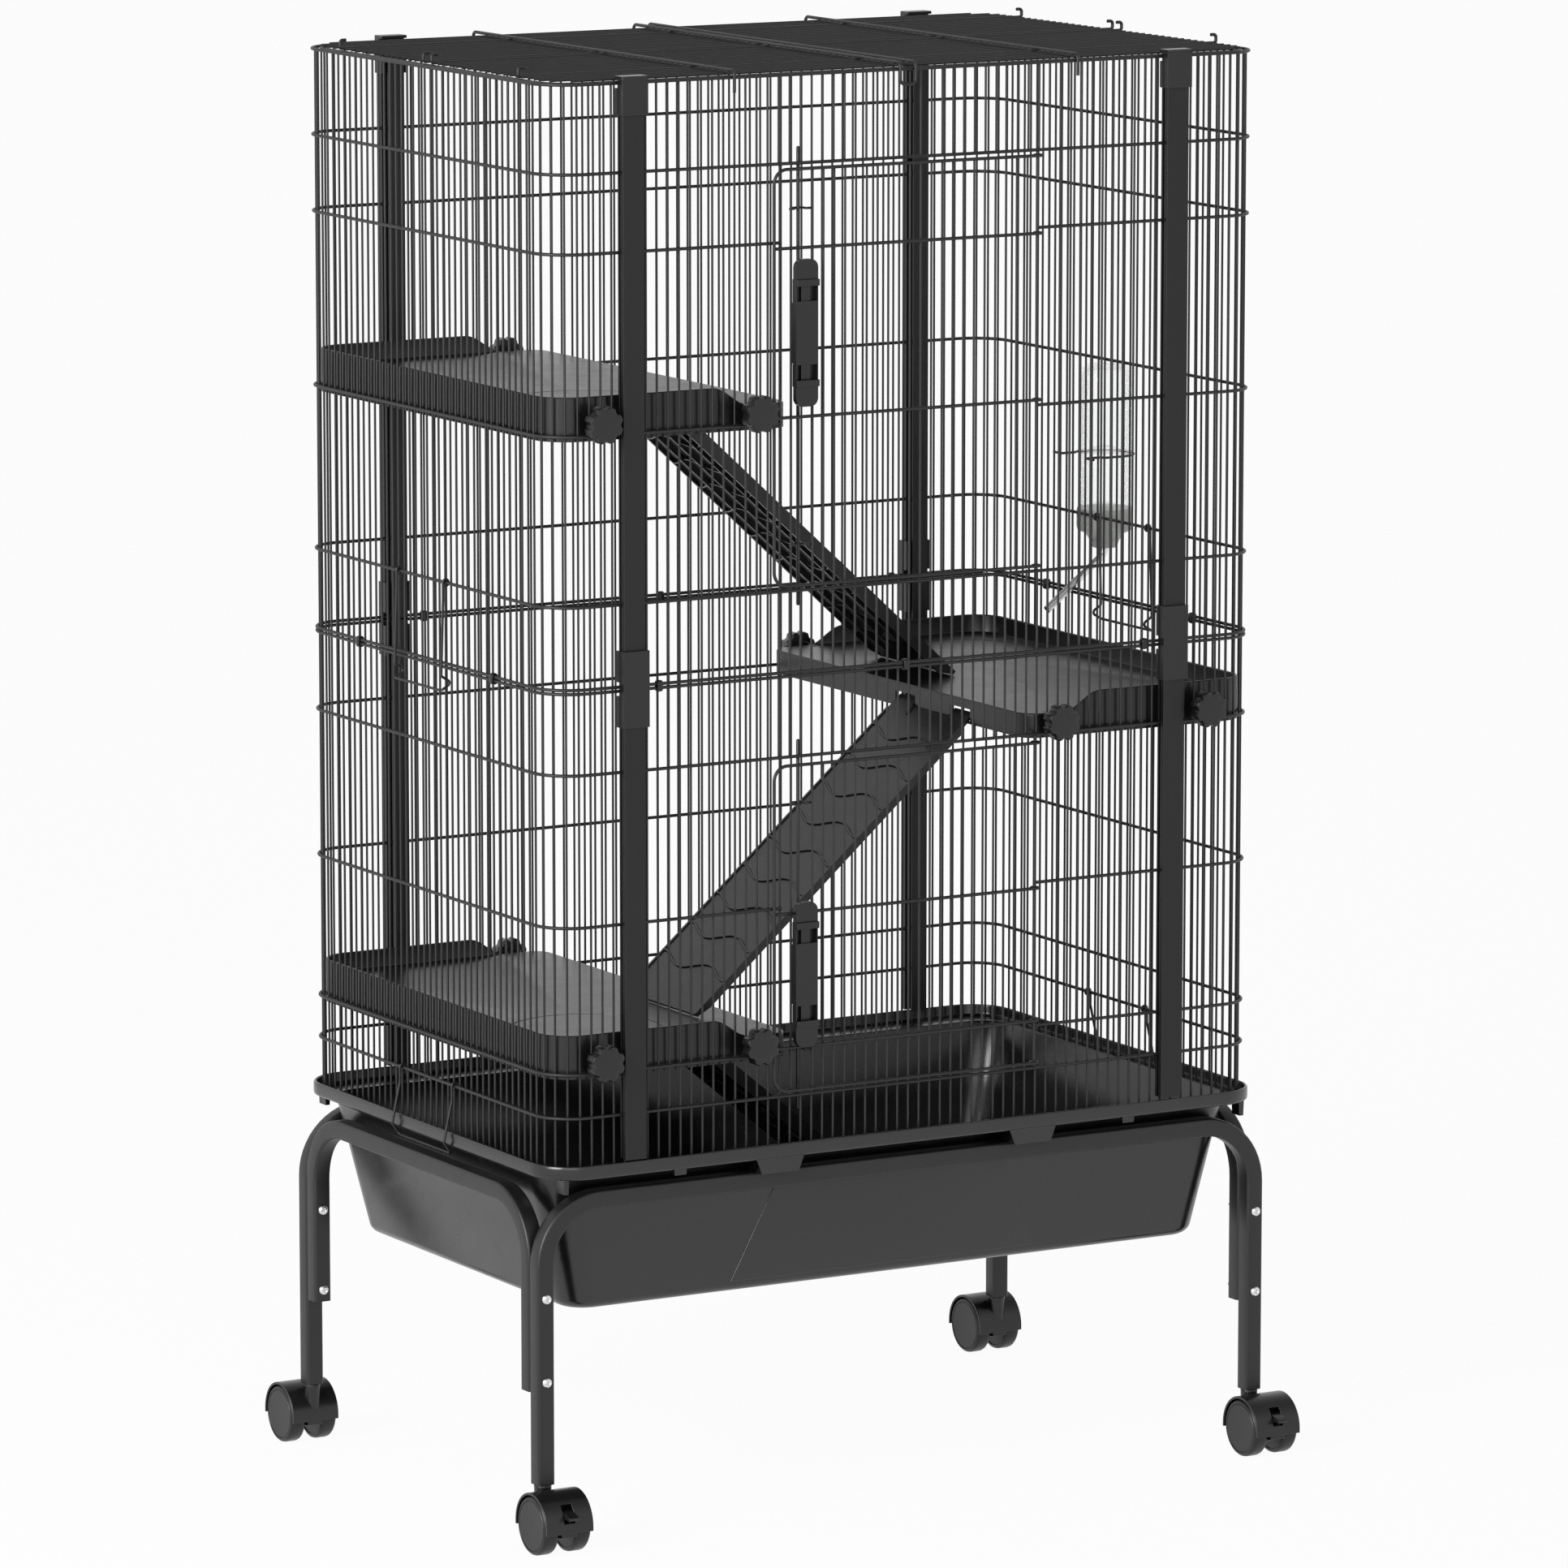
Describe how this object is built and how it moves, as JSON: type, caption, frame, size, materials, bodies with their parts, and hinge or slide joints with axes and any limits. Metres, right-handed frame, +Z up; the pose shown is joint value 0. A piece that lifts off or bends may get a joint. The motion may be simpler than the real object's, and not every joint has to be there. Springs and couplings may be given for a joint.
{
  "type": "small animal cage",
  "caption": "Tall two-tier wire cage for small animals with hinged doors, platforms joined by ramps, a water bottle and a deep tray, on a wheeled tubular stand.",
  "frame": {"origin": "on the floor under the middle of the wire tower, midway between the legs", "axes": "+X along the length towards the water bottle, +Y to the back, away from the doors, +Z up"},
  "size_m": [0.8791, 0.6019, 1.4056],
  "materials": {
    "wire_enamel": "satin black enamel on wire",
    "post_paint": "satin black strip",
    "black_plastic": "moulded black plastic",
    "stand_paint": "black powder coat",
    "zinc": "bright zinc",
    "latch_plastic": "black plastic",
    "spring_steel": "dark wire",
    "clear_plastic": "clear moulded",
    "cap_plastic": "pale translucent",
    "caster_plastic": "black moulded",
    "wheel_plastic": "black moulded"
  },
  "bodies": {
    "cage": {"roof_panel": "wire_enamel", "upper_front_panel": "wire_enamel", "upper_back_panel": "wire_enamel", "upper_left_panel": "wire_enamel", "upper_right_panel": "wire_enamel", "lower_front_panel": "wire_enamel", "lower_back_panel": "wire_enamel", "lower_left_panel": "wire_enamel", "lower_right_panel": "wire_enamel", "corner_posts": "post_paint", "panel_connectors": "black_plastic", "top_platform": "black_plastic", "middle_platform": "black_plastic", "low_platform": "black_plastic", "base_tray": "black_plastic", "long_stand_arches": "stand_paint", "short_stand_arches": "stand_paint", "stand_bolts": "zinc", "water_bottle": "clear_plastic", "bottle_cap": "cap_plastic", "bottle_bracket": "wire_enamel"},
    "upper_door_body": {"upper_door": "wire_enamel", "upper_latch_plate": "black_plastic", "upper_latch_spring": "spring_steel"},
    "upper_top_bolt": {"upper_latch_top_bolt": "latch_plastic"},
    "upper_bottom_bolt": {"upper_latch_bottom_bolt": "latch_plastic"},
    "lower_door_body": {"lower_door": "wire_enamel", "lower_latch_plate": "black_plastic", "lower_latch_spring": "spring_steel"},
    "lower_top_bolt": {"lower_latch_top_bolt": "latch_plastic"},
    "lower_bottom_bolt": {"lower_latch_bottom_bolt": "latch_plastic"},
    "top_ramp_body": {"top_ramp": "black_plastic"},
    "top_knob_front_end_body": {"top_knob_front_end": "black_plastic"},
    "top_knob_front_inner_body": {"top_knob_front_inner": "black_plastic"},
    "top_knob_back_end_body": {"top_knob_back_end": "black_plastic"},
    "top_knob_back_inner_body": {"top_knob_back_inner": "black_plastic"},
    "middle_ramp_body": {"middle_ramp": "black_plastic"},
    "middle_knob_front_end_body": {"middle_knob_front_end": "black_plastic"},
    "middle_knob_front_inner_body": {"middle_knob_front_inner": "black_plastic"},
    "middle_knob_back_end_body": {"middle_knob_back_end": "black_plastic"},
    "middle_knob_back_inner_body": {"middle_knob_back_inner": "black_plastic"},
    "low_ramp_body": {"low_ramp": "black_plastic"},
    "low_knob_front_end_body": {"low_knob_front_end": "black_plastic"},
    "low_knob_front_inner_body": {"low_knob_front_inner": "black_plastic"},
    "low_knob_back_end_body": {"low_knob_back_end": "black_plastic"},
    "low_knob_back_inner_body": {"low_knob_back_inner": "black_plastic"},
    "left_tier_latch_body": {"left_tier_latch": "wire_enamel"},
    "left_tray_bail_body": {"left_tray_bail": "wire_enamel"},
    "right_tier_latch_body": {"right_tier_latch": "wire_enamel"},
    "right_tray_bail_body": {"right_tray_bail": "wire_enamel"},
    "front_left_caster": {"front_left_caster_hood": "caster_plastic"},
    "front_left_wheel_pair": {"front_left_wheels": "wheel_plastic"},
    "front_left_lever": {"front_left_brake_lever": "caster_plastic"},
    "front_right_caster": {"front_right_caster_hood": "caster_plastic"},
    "front_right_wheel_pair": {"front_right_wheels": "wheel_plastic"},
    "front_right_lever": {"front_right_brake_lever": "caster_plastic"},
    "back_left_caster": {"back_left_caster_hood": "caster_plastic"},
    "back_left_wheel_pair": {"back_left_wheels": "wheel_plastic"},
    "back_right_caster": {"back_right_caster_hood": "caster_plastic"},
    "back_right_wheel_pair": {"back_right_wheels": "wheel_plastic"}
  },
  "joints": [
    {"name": "upper_door_hinge", "type": "hinge", "parent": "cage", "child": "upper_door_body", "pos_m": [0.137, -0.2572, 1.1058], "axis": [0, 0, 1], "range_deg": [0, 150]},
    {"name": "upper_top_bolt_slide", "type": "slide", "parent": "upper_door_body", "child": "upper_top_bolt", "axis": [0, 0, -1], "range_m": [0, 0.0175], "stiffness_N_per_m": 300, "springref_m": -0.006, "deforming": ["upper_latch_spring"]},
    {"name": "upper_bottom_bolt_slide", "type": "slide", "parent": "upper_door_body", "child": "upper_bottom_bolt", "axis": [0, 0, 1], "range_m": [0, 0.0175], "stiffness_N_per_m": 300, "springref_m": -0.006},
    {"name": "lower_door_hinge", "type": "hinge", "parent": "cage", "child": "lower_door_body", "pos_m": [0.137, -0.2572, 0.57885], "axis": [0, 0, 1], "range_deg": [0, 150]},
    {"name": "lower_top_bolt_slide", "type": "slide", "parent": "lower_door_body", "child": "lower_top_bolt", "axis": [0, 0, -1], "range_m": [0, 0.0175], "stiffness_N_per_m": 300, "springref_m": -0.006, "deforming": ["lower_latch_spring"]},
    {"name": "lower_bottom_bolt_slide", "type": "slide", "parent": "lower_door_body", "child": "lower_bottom_bolt", "axis": [0, 0, 1], "range_m": [0, 0.0175], "stiffness_N_per_m": 300, "springref_m": -0.006},
    {"name": "top_ramp_lift", "type": "hinge", "parent": "cage", "child": "top_ramp_body", "pos_m": [-0.13325, 0.072, 1.064], "axis": [0, -1, 0], "range_deg": [0, 25]},
    {"name": "top_knob_front_end_turn", "type": "hinge", "parent": "cage", "child": "top_knob_front_end_body", "pos_m": [-0.34518, -0.2585, 1.0755], "axis": [0, 1, 0], "continuous": true},
    {"name": "top_knob_front_inner_turn", "type": "hinge", "parent": "cage", "child": "top_knob_front_inner_body", "pos_m": [-0.1771, -0.2585, 1.0755], "axis": [0, 1, 0], "continuous": true},
    {"name": "top_knob_back_end_turn", "type": "hinge", "parent": "cage", "child": "top_knob_back_end_body", "pos_m": [-0.32618, 0.2585, 1.0755], "axis": [0, 1, 0], "continuous": true},
    {"name": "top_knob_back_inner_turn", "type": "hinge", "parent": "cage", "child": "top_knob_back_inner_body", "pos_m": [-0.1581, 0.2585, 1.0755], "axis": [0, 1, 0], "continuous": true},
    {"name": "middle_ramp_lift", "type": "hinge", "parent": "cage", "child": "middle_ramp_body", "pos_m": [0.13325, -0.072, 0.7436], "axis": [0, 1, 0], "range_deg": [0, 25]},
    {"name": "middle_knob_front_end_turn", "type": "hinge", "parent": "cage", "child": "middle_knob_front_end_body", "pos_m": [0.34518, 0.2585, 0.7551], "axis": [0, 1, 0], "continuous": true},
    {"name": "middle_knob_front_inner_turn", "type": "hinge", "parent": "cage", "child": "middle_knob_front_inner_body", "pos_m": [0.1771, 0.2585, 0.7551], "axis": [0, 1, 0], "continuous": true},
    {"name": "middle_knob_back_end_turn", "type": "hinge", "parent": "cage", "child": "middle_knob_back_end_body", "pos_m": [0.32618, -0.2585, 0.7551], "axis": [0, 1, 0], "continuous": true},
    {"name": "middle_knob_back_inner_turn", "type": "hinge", "parent": "cage", "child": "middle_knob_back_inner_body", "pos_m": [0.1581, -0.2585, 0.7551], "axis": [0, 1, 0], "continuous": true},
    {"name": "low_ramp_lift", "type": "hinge", "parent": "cage", "child": "low_ramp_body", "pos_m": [-0.13325, 0.072, 0.4571], "axis": [0, -1, 0], "range_deg": [0, 25]},
    {"name": "low_knob_front_end_turn", "type": "hinge", "parent": "cage", "child": "low_knob_front_end_body", "pos_m": [-0.34518, -0.2585, 0.4686], "axis": [0, 1, 0], "continuous": true},
    {"name": "low_knob_front_inner_turn", "type": "hinge", "parent": "cage", "child": "low_knob_front_inner_body", "pos_m": [-0.1771, -0.2585, 0.4686], "axis": [0, 1, 0], "continuous": true},
    {"name": "low_knob_back_end_turn", "type": "hinge", "parent": "cage", "child": "low_knob_back_end_body", "pos_m": [-0.32618, 0.2585, 0.4686], "axis": [0, 1, 0], "continuous": true},
    {"name": "low_knob_back_inner_turn", "type": "hinge", "parent": "cage", "child": "low_knob_back_inner_body", "pos_m": [-0.1581, 0.2585, 0.4686], "axis": [0, 1, 0], "continuous": true},
    {"name": "left_tier_latch_swing", "type": "hinge", "parent": "cage", "child": "left_tier_latch_body", "pos_m": [-0.3934, 0, 0.9025], "axis": [0, 1, 0], "range_deg": [0, 120]},
    {"name": "left_tray_bail_swing", "type": "hinge", "parent": "cage", "child": "left_tray_bail_body", "pos_m": [-0.3934, 0, 0.4146], "axis": [0, 1, 0], "range_deg": [0, 90]},
    {"name": "right_tier_latch_swing", "type": "hinge", "parent": "cage", "child": "right_tier_latch_body", "pos_m": [0.3934, 0, 0.9025], "axis": [0, -1, 0], "range_deg": [0, 120]},
    {"name": "right_tray_bail_swing", "type": "hinge", "parent": "cage", "child": "right_tray_bail_body", "pos_m": [0.3934, 0, 0.4146], "axis": [0, -1, 0], "range_deg": [0, 90]},
    {"name": "front_left_swivel", "type": "hinge", "parent": "cage", "child": "front_left_caster", "pos_m": [-0.399, -0.242, 0.062], "axis": [0, 0, 1], "continuous": true},
    {"name": "front_left_roll", "type": "hinge", "parent": "front_left_caster", "child": "front_left_wheel_pair", "pos_m": [-0.399, -0.265, 0.0285], "axis": [1, 0, 0], "continuous": true},
    {"name": "front_left_brake_press", "type": "hinge", "parent": "front_left_caster", "child": "front_left_lever", "pos_m": [-0.399, -0.285, 0.0425], "axis": [1, 0, 0], "range_deg": [0, 12]},
    {"name": "front_right_swivel", "type": "hinge", "parent": "cage", "child": "front_right_caster", "pos_m": [0.399, -0.242, 0.062], "axis": [0, 0, 1], "continuous": true},
    {"name": "front_right_roll", "type": "hinge", "parent": "front_right_caster", "child": "front_right_wheel_pair", "pos_m": [0.399, -0.265, 0.0285], "axis": [1, 0, 0], "continuous": true},
    {"name": "front_right_brake_press", "type": "hinge", "parent": "front_right_caster", "child": "front_right_lever", "pos_m": [0.399, -0.285, 0.0425], "axis": [1, 0, 0], "range_deg": [0, 12]},
    {"name": "back_left_swivel", "type": "hinge", "parent": "cage", "child": "back_left_caster", "pos_m": [-0.399, 0.242, 0.062], "axis": [0, 0, 1], "continuous": true},
    {"name": "back_left_roll", "type": "hinge", "parent": "back_left_caster", "child": "back_left_wheel_pair", "pos_m": [-0.399, 0.265, 0.0285], "axis": [1, 0, 0], "continuous": true},
    {"name": "back_right_swivel", "type": "hinge", "parent": "cage", "child": "back_right_caster", "pos_m": [0.399, 0.242, 0.062], "axis": [0, 0, 1], "continuous": true},
    {"name": "back_right_roll", "type": "hinge", "parent": "back_right_caster", "child": "back_right_wheel_pair", "pos_m": [0.399, 0.265, 0.0285], "axis": [1, 0, 0], "continuous": true}
  ]
}
